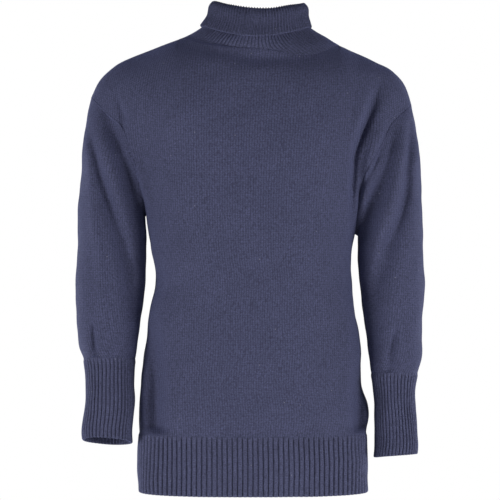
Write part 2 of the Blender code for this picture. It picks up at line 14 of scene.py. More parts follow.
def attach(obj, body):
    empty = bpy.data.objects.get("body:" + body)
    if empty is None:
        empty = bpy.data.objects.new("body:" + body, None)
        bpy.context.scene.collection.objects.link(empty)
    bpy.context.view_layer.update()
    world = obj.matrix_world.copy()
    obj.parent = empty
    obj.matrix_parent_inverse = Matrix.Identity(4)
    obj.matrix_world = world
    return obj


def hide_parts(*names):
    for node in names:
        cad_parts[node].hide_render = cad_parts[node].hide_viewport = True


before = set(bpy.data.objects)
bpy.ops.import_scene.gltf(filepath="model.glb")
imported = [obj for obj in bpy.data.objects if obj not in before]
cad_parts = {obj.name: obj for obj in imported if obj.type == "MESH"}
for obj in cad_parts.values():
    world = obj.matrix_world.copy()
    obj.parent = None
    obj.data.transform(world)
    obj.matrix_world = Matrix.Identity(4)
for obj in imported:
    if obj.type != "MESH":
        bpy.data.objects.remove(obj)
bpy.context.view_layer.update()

# Walls and seams
CLOTH = 0.0025
RIBBING = 0.0032
SEAM_GAP = 0.0002

# Body sections of the cloth's outside, from the hem edge up to the armholes. Each gives the side
# seams at the right and the left, and how far the front and the back stand from the middle plane.
BodyRow = namedtuple("BodyRow", "right_x right_z left_x left_z front back")
BODY_ROWS = (
    BodyRow(right_x=-0.1695, right_z=-0.6760, left_x=0.1720, left_z=-0.6760, front=0.088, back=0.086),
    BodyRow(right_x=-0.1695, right_z=-0.6300, left_x=0.1725, left_z=-0.6300, front=0.089, back=0.087),
    BodyRow(right_x=-0.1690, right_z=-0.5880, left_x=0.1710, left_z=-0.5880, front=0.090, back=0.088),
    BodyRow(right_x=-0.1700, right_z=-0.5580, left_x=0.1750, left_z=-0.5580, front=0.095, back=0.092),
    BodyRow(right_x=-0.1665, right_z=-0.5160, left_x=0.1640, left_z=-0.5160, front=0.099, back=0.094),
    BodyRow(right_x=-0.1590, right_z=-0.4560, left_x=0.1620, left_z=-0.4560, front=0.102, back=0.095),
    BodyRow(right_x=-0.1540, right_z=-0.4080, left_x=0.1553, left_z=-0.4080, front=0.105, back=0.096),
    BodyRow(right_x=-0.1435, right_z=-0.3600, left_x=0.1488, left_z=-0.3620, front=0.108, back=0.099),
    BodyRow(right_x=-0.1515, right_z=-0.3080, left_x=0.1490, left_z=-0.3260, front=0.112, back=0.104),
    BodyRow(right_x=-0.1578, right_z=-0.2620, left_x=0.1537, left_z=-0.2900, front=0.114, back=0.107),
)
HEM_ROWS = 3
BODY_ROUNDNESS = 0.085

# Armhole seams, from the underarm up to the shoulder point
SeamPoint = namedtuple("SeamPoint", "x z front back")
ARMHOLES = {
    "right": (
        SeamPoint(x=-0.15655, z=-0.2620, front=0.000, back=0.000),
        SeamPoint(x=-0.1600, z=-0.2400, front=0.025, back=0.023),
        SeamPoint(x=-0.1670, z=-0.2080, front=0.046, back=0.043),
        SeamPoint(x=-0.1755, z=-0.1780, front=0.056, back=0.053),
        SeamPoint(x=-0.1840, z=-0.1510, front=0.058, back=0.055),
        SeamPoint(x=-0.1950, z=-0.1290, front=0.052, back=0.050),
        SeamPoint(x=-0.2110, z=-0.1140, front=0.042, back=0.041),
        SeamPoint(x=-0.2270, z=-0.0990, front=0.030, back=0.030),
        SeamPoint(x=-0.2365, z=-0.0895, front=0.016, back=0.016),
        SeamPoint(x=-0.2400, z=-0.0850, front=0.000, back=0.000),
    ),
    "left": (
        SeamPoint(x=0.15245, z=-0.2900, front=0.000, back=0.000),
        SeamPoint(x=0.1545, z=-0.2620, front=0.026, back=0.024),
        SeamPoint(x=0.1600, z=-0.2250, front=0.046, back=0.043),
        SeamPoint(x=0.1690, z=-0.1960, front=0.056, back=0.053),
        SeamPoint(x=0.1800, z=-0.1740, front=0.059, back=0.056),
        SeamPoint(x=0.1940, z=-0.1520, front=0.056, back=0.053),
        SeamPoint(x=0.2050, z=-0.1300, front=0.048, back=0.046),
        SeamPoint(x=0.2210, z=-0.1130, front=0.034, back=0.033),
        SeamPoint(x=0.2330, z=-0.1015, front=0.019, back=0.019),
        SeamPoint(x=0.2385, z=-0.0960, front=0.000, back=0.000),
    ),
}

# Line of the shoulders from the right shoulder point to the left one. The columns at plus and
# minus NECK_COLUMN end at the corners of the neck; between them the line only guides the cloth.
Ridge = namedtuple("Ridge", "across x z")
SHOULDER_LINE = (
    Ridge(across=-1.00, x=-0.2400, z=-0.0850),
    Ridge(across=-0.94, x=-0.2300, z=-0.0640),
    Ridge(across=-0.84, x=-0.2080, z=-0.0430),
    Ridge(across=-0.72, x=-0.1760, z=-0.0265),
    Ridge(across=-0.61, x=-0.1430, z=-0.0135),
    Ridge(across=-0.50, x=-0.1100, z=0.0000),
    Ridge(across=-0.25, x=-0.0490, z=0.0160),
    Ridge(across=0.00, x=0.0105, z=0.0230),
    Ridge(across=0.25, x=0.0700, z=0.0090),
    Ridge(across=0.50, x=0.1310, z=-0.0110),
    Ridge(across=0.61, x=0.1580, z=-0.0228),
    Ridge(across=0.72, x=0.1850, z=-0.0350),
    Ridge(across=0.84, x=0.2110, z=-0.0495),
    Ridge(across=0.94, x=0.2310, z=-0.0730),
    Ridge(across=1.00, x=0.2385, z=-0.0960),
)
NECK_COLUMN = 0.5
TOUCH = 1e-9

# How the columns run from the armholes' level to the shoulder line, from the middle out: their
# reach up from the chest, over the shoulder and up into the line
Run = namedtuple("Run", "across rise over up", defaults=(0.0,))
FRONT_RUNS = (
    Run(across=0.00, rise=0.38, over=0.35),
    Run(across=0.25, rise=0.36, over=0.34),
    Run(across=0.50, rise=0.32, over=0.30),
    Run(across=0.75, rise=0.28, over=0.25),
    Run(across=1.00, rise=0.26, over=0.22),
)
BACK_RUNS = (
    Run(across=0.00, rise=0.40, over=0.30, up=-0.15),
    Run(across=0.25, rise=0.38, over=0.30, up=-0.11),
    Run(across=0.50, rise=0.32, over=0.28, up=-0.02),
    Run(across=0.75, rise=0.28, over=0.25),
    Run(across=1.00, rise=0.26, over=0.22),
)
CHEST_FULLNESS = 0.012
CHEST_SAMPLE = 0.004
ARMHOLE_REACH = 0.45

# Sleeve sections of the cloth's outside, from the shoulder point down to the cuff end: the edges
# seen from the front, and the front and back seen from the side
SleeveRow = namedtuple("SleeveRow", "z outer inner front back")
SLEEVES = {
    "right": (
        SleeveRow(z=-0.0850, outer=-0.2400, inner=-0.1580, front=-0.050, back=0.050),
        SleeveRow(z=-0.1200, outer=-0.2465, inner=-0.1600, front=-0.059, back=0.058),
        SleeveRow(z=-0.1600, outer=-0.2535, inner=-0.1610, front=-0.064, back=0.063),
        SleeveRow(z=-0.2100, outer=-0.2570, inner=-0.1610, front=-0.065, back=0.064),
        SleeveRow(z=-0.2620, outer=-0.2600, inner=-0.1608, front=-0.064, back=0.061),
        SleeveRow(z=-0.3000, outer=-0.2615, inner=-0.1588, front=-0.063, back=0.058),
        SleeveRow(z=-0.3500, outer=-0.2635, inner=-0.1585, front=-0.062, back=0.053),
        SleeveRow(z=-0.3960, outer=-0.2630, inner=-0.1633, front=-0.061, back=0.047),
        SleeveRow(z=-0.4320, outer=-0.2610, inner=-0.1682, front=-0.061, back=0.039),
        SleeveRow(z=-0.4620, outer=-0.2565, inner=-0.1720, front=-0.061, back=0.031),
        SleeveRow(z=-0.4780, outer=-0.2500, inner=-0.1742, front=-0.061, back=0.024),
        SleeveRow(z=-0.5100, outer=-0.2465, inner=-0.1768, front=-0.063, back=0.017),
        SleeveRow(z=-0.5500, outer=-0.2485, inner=-0.1755, front=-0.066, back=0.012),
        SleeveRow(z=-0.5800, outer=-0.2515, inner=-0.1785, front=-0.069, back=0.009),
        SleeveRow(z=-0.6130, outer=-0.2475, inner=-0.1800, front=-0.071, back=0.005),
    ),
    "left": (
        SleeveRow(z=-0.0960, outer=0.2385, inner=0.1580, front=-0.050, back=0.050),
        SleeveRow(z=-0.1300, outer=0.2435, inner=0.1600, front=-0.059, back=0.058),
        SleeveRow(z=-0.1650, outer=0.2495, inner=0.1610, front=-0.064, back=0.063),
        SleeveRow(z=-0.2200, outer=0.2542, inner=0.1615, front=-0.065, back=0.064),
        SleeveRow(z=-0.2900, outer=0.2557, inner=0.1585, front=-0.063, back=0.060),
        SleeveRow(z=-0.3240, outer=0.2572, inner=0.1588, front=-0.062, back=0.057),
        SleeveRow(z=-0.3600, outer=0.2575, inner=0.1618, front=-0.060, back=0.053),
        SleeveRow(z=-0.4050, outer=0.2563, inner=0.1645, front=-0.058, back=0.048),
        SleeveRow(z=-0.4450, outer=0.2547, inner=0.1712, front=-0.056, back=0.042),
        SleeveRow(z=-0.4800, outer=0.2527, inner=0.1760, front=-0.054, back=0.034),
        SleeveRow(z=-0.4990, outer=0.2462, inner=0.1788, front=-0.052, back=0.026),
        SleeveRow(z=-0.5300, outer=0.2420, inner=0.1825, front=-0.050, back=0.019),
        SleeveRow(z=-0.5700, outer=0.2455, inner=0.1842, front=-0.051, back=0.016),
        SleeveRow(z=-0.6000, outer=0.2465, inner=0.1845, front=-0.052, back=0.015),
        SleeveRow(z=-0.6300, outer=0.2430, inner=0.1810, front=-0.053, back=0.013),
    ),
}
SLEEVE_ROUNDNESS = 0.03

# How far down a sleeve the armhole still shapes it, at the underarm, where the sleeve leaves the
# body on a short ledge, and at the shoulder, reached quickly on the way up
UNDERARM_HEAD = 0.003
SHOULDER_HEAD = 0.070
HEAD_RISE = 1.5

# Level rings where a sleeve meets its cuff and where the cuff ends. A ring's back lies lower
# than its front by twice its tilt, because the forearm leans forward, and its inner side lower
# than its outer one by twice its lean.
CuffRing = namedtuple("CuffRing", "z tilt lean")
CUFF_TOPS = {
    "right": CuffRing(z=-0.4775, tilt=0.0040, lean=0.0),
    "left": CuffRing(z=-0.4985, tilt=0.0020, lean=0.0),
}
CUFF_ENDS = {
    "right": CuffRing(z=-0.5990, tilt=0.0085, lean=0.0020),
    "left": CuffRing(z=-0.6215, tilt=0.0028, lean=0.0026),
}

# The neck seam seen from above: an oval behind, and flatter across the front. The powers are those
# of its share across and its share in depth.
NECK_MIDDLE = 0.0105
NECK_HALF = 0.1205
NECK_DEPTHS = {"front": 0.079, "back": 0.072}
NECK_ACROSS_POWER = {"front": 4.0, "back": 2.0}
NECK_DEPTH_POWER = {"front": 1.5, "back": 2.0}

# Where the search for the neck seam starts on each column, and its steps
SEARCH_START = 0.3
SEARCH_STEPS = 30

# Collar rings along the ribbing above the neck seam: base, stand, fold, turnover and free edge
CollarRing = namedtuple("CollarRing", "middle half front back side_z front_z back_z slant")
COLLAR_RINGS = (
    CollarRing(middle=0.0070, half=0.1035, front=0.0765, back=0.0680,
               side_z=0.0030, front_z=-0.0215, back_z=0.0110, slant=-0.0020),
    CollarRing(middle=0.0055, half=0.0875, front=0.0740, back=0.0640,
               side_z=0.0105, front_z=-0.0125, back_z=0.0180, slant=-0.0010),
    CollarRing(middle=0.0065, half=0.0740, front=0.0705, back=0.0600,
               side_z=0.0205, front_z=-0.0015, back_z=0.0260, slant=-0.0010),
    CollarRing(middle=0.0085, half=0.0680, front=0.0668, back=0.0560,
               side_z=0.0360, front_z=0.0160, back_z=0.0380, slant=-0.0010),
    CollarRing(middle=0.0090, half=0.0648, front=0.0648, back=0.0535,
               side_z=0.0500, front_z=0.0345, back_z=0.0480, slant=-0.0015),
    CollarRing(middle=0.0090, half=0.0682, front=0.0682, back=0.0568,
               side_z=0.0535, front_z=0.0390, back_z=0.0510, slant=-0.0015),
    CollarRing(middle=0.0090, half=0.0716, front=0.0716, back=0.0602,
               side_z=0.0500, front_z=0.0345, back_z=0.0480, slant=-0.0015),
    CollarRing(middle=0.0085, half=0.0750, front=0.0738, back=0.0640,
               side_z=0.0355, front_z=0.0170, back_z=0.0340, slant=-0.0010),
    CollarRing(middle=0.0070, half=0.0800, front=0.0765, back=0.0695,
               side_z=0.0255, front_z=0.0045, back_z=0.0210, slant=-0.0010),
    CollarRing(middle=0.0060, half=0.0832, front=0.0780, back=0.0735,
               side_z=0.0195, front_z=-0.0020, back_z=0.0125, slant=-0.0010),
)

# Fine grids: the distance between their rows and columns, the rows of a sleeve's ledge, extra
# rows beside an edge that is rounded, and the points across one rib
CLOTH_STEP = 0.0028
RIB_STEP = 0.0038
COLLAR_STEP = 0.8 * RIB_STEP
LEDGE_STEPS = 3
EDGE_ROWS = (0.0003, 0.0009, 0.0018)
RIB_POINTS = 8
PANEL_WIDTH = 0.42
YOKE_LENGTH = 0.29
SLEEVE_GIRTH = 0.32
SLEEVE_LENGTH = 0.40
CUFF_LENGTH = 0.12

# Points on the curves from which the ribs and the collar's start are read: half the hem or a
# whole cuff, half the neck seam and the whole collar
HALF_SAMPLES = 401
SEAM_SAMPLES = 161
COLLAR_SAMPLES = 721

# The coordinates that a length is measured in: all, level, and seen from the side and the front
ALL_WAYS = [0, 1, 2]
LEVEL = [0, 1]
FROM_SIDE = [1, 2]
FROM_FRONT = [0, 2]

# Samples of the sleeve's girth up and round it, and the turn beside the outer and the inner line
# over which the wales go over to the sleeve's own columns
GIRTH_LEVELS = 121
GIRTH_ANGLES = 91
TURN_BLEND = 0.6

# Knitting: the wales across a panel, the size of a stitch, how far the wales lean out on the
# shoulders, and the ribs of each ribbed piece: their count, the height of their ridges and the
# distance from the seam over which they rise to it
PANEL_WALES = 120
WALE = 0.0035
COURSE = 0.0026
SHOULDER_LEAN = 0.10
Ribs = namedtuple("Ribs", "count height rise")
HEM_RIBS = Ribs(count=58, height=0.0015, rise=0.005)
CUFF_RIBS = Ribs(count=42, height=0.0012, rise=0.005)
COLLAR_RIBS = Ribs(count=100, height=0.0009, rise=0.030)

# A rib's section in shares of its height: the power that rounds its ridge, the ridge's rise from
# the furrow, and how deep the furrow lies in the cloth
RIDGE_POWER = 0.8
RIDGE_RISE = 2.0
FURROW_DROP = 1.1

# How the wall thins at an edge: the share of its thickness it loses, and over what distance
Edge = namedtuple("Edge", "loss reach")
FREE = Edge(loss=0.90, reach=0.0026)
SEAM = Edge(loss=0.22, reach=0.0012)
KNITTED_ON = Edge(loss=0.0, reach=0.0012)
SEAM_REACH = 0.0016
SEAM_BLEND = 0.008

# Folds of the front and the back. Each follows a smooth line of x and z, as seen from the front.
# Its height is out of the garment, its half widths are those at the line's start and end, and it
# dies out over its hold beside a seam. It shapes one piece, or all pieces of a part.
Fold = namedtuple("Fold", "part face height start_width end_width hold line")
PARTS = {
    "armhole_right": ("front", "back", "sleeve_right"),
    "armhole_left": ("front", "back", "sleeve_left"),
    "body": ("front", "back", "hem_rib_front", "hem_rib_back"),
    "neck": ("front", "collar"),
}
FOLDS = (
    Fold("sleeve_right", "front", -0.014, 0.008, 0.016, 0.004,
         ((-0.219, -0.105), (-0.203, -0.146), (-0.188, -0.190), (-0.171, -0.228), (-0.163, -0.262))),
    Fold("armhole_right", "front", 0.014, 0.010, 0.011, 0.0,
         ((-0.176, -0.175), (-0.165, -0.215), (-0.159, -0.250), (-0.156, -0.300))),
    Fold("sleeve_right", "front", -0.015, 0.006, 0.015, 0.010,
         ((-0.240, -0.138), (-0.223, -0.205), (-0.209, -0.256), (-0.200, -0.286), (-0.187, -0.330),
          (-0.180, -0.380), (-0.177, -0.430))),
    Fold("sleeve_right", "front", 0.005, 0.008, 0.009, 0.008,
         ((-0.231, -0.124), (-0.216, -0.168), (-0.201, -0.220), (-0.187, -0.271))),
    Fold("sleeve_right", "front", 0.005, 0.007, 0.008, 0.010,
         ((-0.242, -0.160), (-0.236, -0.242), (-0.230, -0.286), (-0.224, -0.334), (-0.221, -0.375),
          (-0.218, -0.430))),
    Fold("sleeve_right", "front", -0.007, 0.003, 0.006, 0.002,
         ((-0.2350, -0.420), (-0.2325, -0.452), (-0.2280, -0.478))),
    Fold("armhole_left", "front", -0.011, 0.007, 0.015, 0.0,
         ((0.209, -0.138), (0.204, -0.168), (0.197, -0.202), (0.186, -0.231), (0.173, -0.262),
          (0.165, -0.310))),
    Fold("armhole_left", "front", -0.006, 0.003, 0.005, 0.0,
         ((0.190, -0.165), (0.175, -0.200), (0.162, -0.227), (0.155, -0.262))),
    Fold("armhole_left", "front", 0.014, 0.008, 0.010, 0.0,
         ((0.192, -0.130), (0.176, -0.175), (0.168, -0.215), (0.161, -0.256), (0.157, -0.320))),
    Fold("sleeve_left", "front", -0.014, 0.005, 0.018, 0.006,
         ((0.234, -0.130), (0.231, -0.175), (0.226, -0.235), (0.218, -0.272), (0.201, -0.317),
          (0.189, -0.359), (0.178, -0.440))),
    Fold("sleeve_left", "front", 0.006, 0.007, 0.010, 0.008,
         ((0.227, -0.112), (0.221, -0.168), (0.213, -0.212), (0.205, -0.242), (0.188, -0.292),
          (0.177, -0.340))),
    Fold("sleeve_left", "front", -0.007, 0.004, 0.007, 0.002,
         ((0.214, -0.425), (0.207, -0.462), (0.202, -0.499))),
    Fold("armhole_left", "front", -0.017, 0.008, 0.006, 0.0,
         ((0.188, -0.070), (0.171, -0.120), (0.160, -0.146), (0.150, -0.172), (0.147, -0.205),
          (0.147, -0.300))),
    Fold("front", "front", 0.008, 0.008, 0.006, 0.004,
         ((0.162, -0.100), (0.150, -0.145), (0.143, -0.185), (0.143, -0.300))),
    Fold("front", "front", -0.004, 0.004, 0.006, 0.001,
         ((-0.199, -0.086), (-0.192, -0.112), (-0.189, -0.140))),
    Fold("neck", "front", -0.008, 0.012, 0.012, 0.0,
         ((-0.1235, -0.004), (-0.054, -0.023), (-0.003, -0.033), (0.026, -0.036), (0.056, -0.035),
          (0.090, -0.030), (0.1500, -0.014))),
    Fold("front", "front", -0.030, 0.014, 0.015, 0.012,
         ((-0.144, -0.420), (-0.140, -0.510), (-0.140, -0.570), (-0.142, -0.635))),
    Fold("front", "front", -0.027, 0.010, 0.012, 0.012,
         ((0.155, -0.480), (0.158, -0.545), (0.158, -0.590), (0.160, -0.640))),
    Fold("body", "front", 0.004, 0.012, 0.014, 0.0,
         ((-0.138, -0.340), (-0.136, -0.430), (-0.139, -0.560), (-0.140, -0.640))),
    Fold("body", "front", 0.004, 0.012, 0.014, 0.0,
         ((0.138, -0.300), (0.143, -0.430), (0.146, -0.560), (0.145, -0.640))),
    Fold("sleeve_right", "back", -0.016, 0.008, 0.014, 0.005,
         ((-0.224, -0.106), (-0.203, -0.170), (-0.184, -0.215), (-0.163, -0.290))),
    Fold("sleeve_right", "back", -0.010, 0.008, 0.012, 0.012,
         ((-0.245, -0.155), (-0.228, -0.235), (-0.206, -0.305), (-0.196, -0.360))),
    Fold("sleeve_right", "back", -0.006, 0.010, 0.012, 0.012,
         ((-0.236, -0.335), (-0.214, -0.395), (-0.192, -0.455))),
    Fold("sleeve_left", "back", -0.016, 0.008, 0.014, 0.005,
         ((0.219, -0.112), (0.200, -0.178), (0.181, -0.226), (0.162, -0.305))),
    Fold("sleeve_left", "back", -0.010, 0.008, 0.012, 0.012,
         ((0.242, -0.170), (0.222, -0.250), (0.203, -0.322), (0.190, -0.385))),
    Fold("armhole_right", "back", -0.014, 0.009, 0.009, 0.0,
         ((-0.180, -0.095), (-0.165, -0.150), (-0.154, -0.195), (-0.152, -0.255))),
    Fold("armhole_left", "back", -0.014, 0.009, 0.009, 0.0,
         ((0.180, -0.100), (0.163, -0.160), (0.151, -0.205), (0.149, -0.275))),
    Fold("back", "back", -0.006, 0.014, 0.020, 0.010,
         ((-0.150, -0.190), (-0.090, -0.220), (-0.020, -0.245))),
    Fold("back", "back", -0.006, 0.014, 0.020, 0.010,
         ((0.150, -0.200), (0.085, -0.235), (0.020, -0.262))),
    Fold("back", "back", -0.005, 0.018, 0.022, 0.010,
         ((-0.125, -0.385), (-0.060, -0.428), (0.030, -0.424))),
    Fold("back", "back", -0.004, 0.016, 0.020, 0.010,
         ((0.130, -0.440), (0.075, -0.478), (0.010, -0.480))),
)

# Points read along a fold's line, the share of it left out at each end, the power that keeps the
# fold full between them, and how far from the middle plane it reaches its whole height
FOLD_POINTS = 49
FOLD_ENDS = 0.02
FOLD_FULLNESS = 0.7
SIDE_REACH = 0.034

# Slow unevenness of the whole surface: waves across the cloth, each with its own direction,
# length and height
Wave = namedtuple("Wave", "x y z length height")
WAVES = (
    Wave(x=0.9, y=0.1, z=0.4, length=0.071, height=0.0005),
    Wave(x=-0.5, y=0.6, z=0.6, length=0.053, height=0.0004),
    Wave(x=0.2, y=-0.5, z=0.8, length=0.094, height=0.0006),
    Wave(x=0.7, y=0.5, z=-0.5, length=0.039, height=0.0003),
    Wave(x=-0.3, y=0.4, z=0.9, length=0.031, height=0.0002),
)


def smooth(knots, values, at):
    """Read a smooth curve through the values at the knots."""
    knots = np.asarray(knots, dtype=float)
    values = np.asarray(values, dtype=float)
    slopes = np.gradient(values, knots, axis=0)
    at = np.clip(np.asarray(at, dtype=float), knots[0], knots[-1])
    low = np.clip(np.searchsorted(knots, at, side="right") - 1, 0, len(knots) - 2)
    span = (knots[low + 1] - knots[low])[..., None]
    part = (at - knots[low])[..., None] / span
    rest = 1 - part
    first = values[low] * (1 + 2 * part) * rest ** 2 + slopes[low] * span * part * rest ** 2
    second = values[low + 1] * part ** 2 * (3 - 2 * part) - slopes[low + 1] * span * part ** 2 * rest
    return first + second


def along(points, at):
    """Read a smooth curve through the points, where at runs from 0 to 1 by their distance."""
    points = np.asarray(points, dtype=float)
    steps = np.linalg.norm(np.diff(points, axis=0), axis=1)
    knots = np.concatenate(([0.0], np.cumsum(steps))) / steps.sum()
    return smooth(knots, points, at)


def ease(value):
    """Go smoothly from 0 to 1."""
    value = np.clip(value, 0.0, 1.0)
    return value * value * (3 - 2 * value)


def body_height(row):
    return (row.right_z + row.left_z) / 2


BODY_HEIGHTS = [body_height(row) for row in BODY_ROWS]
RIB_LINE = BODY_HEIGHTS[HEM_ROWS - 1]
CHEST_LINE = BODY_HEIGHTS[-1]


def body_point(across, height, face):
    """A point of the body below the armholes; across runs from -1 at the right to 1 at the left."""
    row = np.moveaxis(smooth(BODY_HEIGHTS, BODY_ROWS, height), -1, 0)
    right_x, right_z, left_x, left_z, front, back = row
    right_x = right_x + CLOTH / 2
    left_x = left_x - CLOTH / 2
    front = front - CLOTH / 2
    back = back - CLOTH / 2
    angle = across * pi / 2
    swell = 1 + BODY_ROUNDNESS * np.sin(2 * angle) ** 2
    share = (1 + np.sin(angle) * swell) / 2
    x = right_x + (left_x - right_x) * share
    y = np.cos(angle) * swell * (-front if face == "front" else back)
    z = right_z + (left_z - right_z) * share
    return np.stack(np.broadcast_arrays(x, y, z), axis=-1)


def ring_point(ring, angle):
    """A point of a collar ring; the angle is 0 at the left, pi / 2 in front, pi at the right."""
    turn = np.sin(angle)
    depth = np.where(turn > 0, ring.front, ring.back)
    end_z = np.where(turn > 0, ring.front_z, ring.back_z)
    x = ring.middle + ring.half * np.cos(angle)
    y = -depth * turn
    z = ring.side_z + (end_z - ring.side_z) * turn ** 2 + ring.slant * np.cos(angle)
    return np.stack((x, y, z), axis=-1)


def armhole_point(side, up, face):
    """A point of an armhole seam; up runs from 0 at the underarm to 1 at the shoulder point."""
    x, z, front, back = np.moveaxis(along(ARMHOLES[side], up), -1, 0)
    y = -front if face == "front" else back
    return np.stack((x, y, z), axis=-1)


def yoke_point(across, up, face):
    """A point of the panel above the armholes' lower ends; up runs from 0 to the shoulders at 1."""
    across, up = np.broadcast_arrays(across, up)
    outward = -1 if face == "front" else 1
    low = body_point(across, CHEST_LINE, face)
    climb = (low - body_point(across, CHEST_LINE - CHEST_SAMPLE, face)) / CHEST_SAMPLE
    _, x, z = np.moveaxis(smooth([row.across for row in SHOULDER_LINE], SHOULDER_LINE, across), -1, 0)
    high = np.stack((x, np.zeros_like(x), z), axis=-1)
    runs = FRONT_RUNS if face == "front" else BACK_RUNS
    table = smooth([row.across for row in runs], runs, np.abs(across))
    _, rise, over, rise_end = np.moveaxis(table, -1, 0)
    leaving = climb * rise[..., None]
    arriving = np.stack((np.zeros_like(x), -outward * over, rise_end), axis=-1)
    part = up[..., None]
    rest = 1 - part
    point = (low * (1 + 2 * part) * rest ** 2 + leaving * part * rest ** 2
             + high * part ** 2 * (3 - 2 * part) - arriving * part ** 2 * rest)
    full = CHEST_FULLNESS * np.sin(pi * across) ** 2 * np.sin(pi * up) ** 2
    point[..., 1] += outward * full
    return point


def yoke_edge_error(side, up, face):
    """How far the plain yoke's side edge lies from the armhole seam."""
    edge = np.full(np.shape(up), -1.0 if side == "right" else 1.0)
    return armhole_point(side, up, face) - yoke_point(edge, up, face)


def fitted_yoke(across, up, face):
    """The yoke drawn in to the armhole seams."""
    across, up = np.broadcast_arrays(across, up)
    near = ease((np.abs(across) - (1 - ARMHOLE_REACH)) / ARMHOLE_REACH)[..., None]
    right = yoke_edge_error("right", up, face)
    left = yoke_edge_error("left", up, face)
    pull = np.where((across < 0)[..., None], right, left)
    return yoke_point(across, up, face) + pull * near


def neck_excess(across, up, face):
    """Below 0 where the yoke's point lies inside the neck seam, seen from above."""
    point = fitted_yoke(across, up, face)
    x = np.abs(point[..., 0] - NECK_MIDDLE) / NECK_HALF
    y = np.abs(point[..., 1]) / NECK_DEPTHS[face]
    return x ** NECK_ACROSS_POWER[face] + y ** NECK_DEPTH_POWER[face] - 1


def column_top(across, face):
    """How far up each column runs: to the neck seam, or to the shoulder line at 1."""
    low = np.full(np.shape(across), SEARCH_START)
    high = np.ones(np.shape(across))
    for _ in range(SEARCH_STEPS):
        middle = (low + high) / 2
        outside = neck_excess(across, middle, face) > 0
        low = np.where(outside, middle, low)
        high = np.where(outside, high, middle)
    return np.where(np.abs(across) >= NECK_COLUMN - TOUCH, 1.0, high)


def sleeve_section(side, z, angle):
    """A point of a level sleeve section; the angle is 0 outside, pi / 2 in front, pi inside."""
    rows = SLEEVES[side][::-1]
    heights = [row.z for row in rows]
    _, outer, inner, front, back = np.moveaxis(smooth(heights, rows, z), -1, 0)
    swell = 1 + SLEEVE_ROUNDNESS * np.sin(2 * angle) ** 2
    wall = -CLOTH / 2 if side == "left" else CLOTH / 2
    x = (outer + inner) / 2 + ((outer - inner) / 2 + wall) * np.cos(angle) * swell
    y = (front + back) / 2 + ((front - back) / 2 + CLOTH / 2) * np.sin(angle) * swell
    return np.stack(np.broadcast_arrays(x, y, z), axis=-1)


def ring_height(ring, angle):
    return ring.z + ring.tilt * np.sin(angle) + ring.lean * np.cos(angle)


def sleeve_point(side, angle, down):
    """A point of a sleeve; down runs from -1 at the armhole, 0 below the ledge, to 1 at the cuff."""
    angle, down = np.broadcast_arrays(angle, down)
    up = 1 - np.abs(angle) / pi
    front = armhole_point(side, up, "front")
    back = armhole_point(side, up, "back")
    start = np.where((angle >= 0)[..., None], front, back)
    end_z = ring_height(CUFF_TOPS[side], angle)
    whole = start[..., 2] - end_z
    reach = UNDERARM_HEAD * (1 + np.minimum(down, 0)) + (whole - UNDERARM_HEAD) * np.maximum(down, 0)
    z = start[..., 2] - reach
    head = UNDERARM_HEAD + (SHOULDER_HEAD - UNDERARM_HEAD) * ease(up * HEAD_RISE)
    held = 1 - ease(reach / head)
    shift = start - sleeve_section(side, start[..., 2], angle)
    return sleeve_section(side, z, angle) + shift * held[..., None]


def cuff_point(side, angle, down):
    """A point of a cuff; down runs from 0 at the sleeve to 1 at the free edge."""
    top = ring_height(CUFF_TOPS[side], angle)
    end = ring_height(CUFF_ENDS[side], angle)
    return sleeve_section(side, top + (end - top) * down, angle)


def grid(first, second):
    """Two sets of steps as a grid, one row for each of the first."""
    return np.meshgrid(first, second, indexing="ij")


# A sheet of knitting as a grid of points. Its edges are its first and last row and, unless it is
# closed, its first and last column. A closed one's last column repeats its first.
Sheet = namedtuple("Sheet", "points closed stitches thickness ribs edges")


def edge_steps(length, step, multiple=1, start=True, end=True):
    """Places from 0 to 1 along a length, closer together beside the edges that are rounded."""
    count = multiple * max(1, round(length / step / multiple))
    near = np.array(EDGE_ROWS) / length
    parts = [np.linspace(0, 1, count + 1)]
    if start:
        parts.append(near)
    if end:
        parts.append(1 - near)
    return np.unique(np.concatenate(parts))


def run_length(points, axis, used):
    """How far each point lies along its row or column, counting only the used directions."""
    steps = np.linalg.norm(np.diff(points[..., used], axis=axis), axis=-1)
    before = np.zeros_like(np.take(steps, [0], axis=axis))
    return np.concatenate((before, np.cumsum(steps, axis=axis)), axis=axis)


def girth_length(points):
    return run_length(points, 1, LEVEL)


def even_places(curve, places, count):
    """The places at which a curve is divided into parts of equal length."""
    steps = np.linalg.norm(np.diff(curve, axis=0), axis=-1)
    share = np.concatenate(([0.0], np.cumsum(steps))) / steps.sum()
    return np.interp(np.linspace(0, 1, count + 1), share, places)


def panel(face):
    across = 2 * edge_steps(PANEL_WIDTH, CLOTH_STEP, multiple=4) - 1
    climb = CHEST_LINE - RIB_LINE
    heights = RIB_LINE + climb * edge_steps(climb, CLOTH_STEP, end=False)[:-1]
    lower = body_point(*grid(heights, across)[::-1], face)
    ups, places = grid(edge_steps(YOKE_LENGTH, CLOTH_STEP, start=False), across)
    upper = fitted_yoke(places, ups * column_top(across, face), face)
    points = np.concatenate((lower, upper))
    middle = len(across) // 2
    girth = girth_length(points)
    girth = girth - girth[:, middle:middle + 1]
    widths = girth[:, -1] - girth[:, 0]
    chest = len(heights)
    wale = np.where(np.arange(len(points)) < chest, widths, widths[chest]) / PANEL_WALES
    lean = np.concatenate((np.zeros(chest), ease(ups[:, 0])))
    wales = girth / (wale * (1 + SHOULDER_LEAN * lean))[:, None]
    courses = run_length(points, 0, FROM_SIDE) / COURSE
    edges = (KNITTED_ON, SEAM, SEAM, SEAM)
    return Sheet(points, False, np.stack((wales, courses), axis=-1), CLOTH, None, edges)


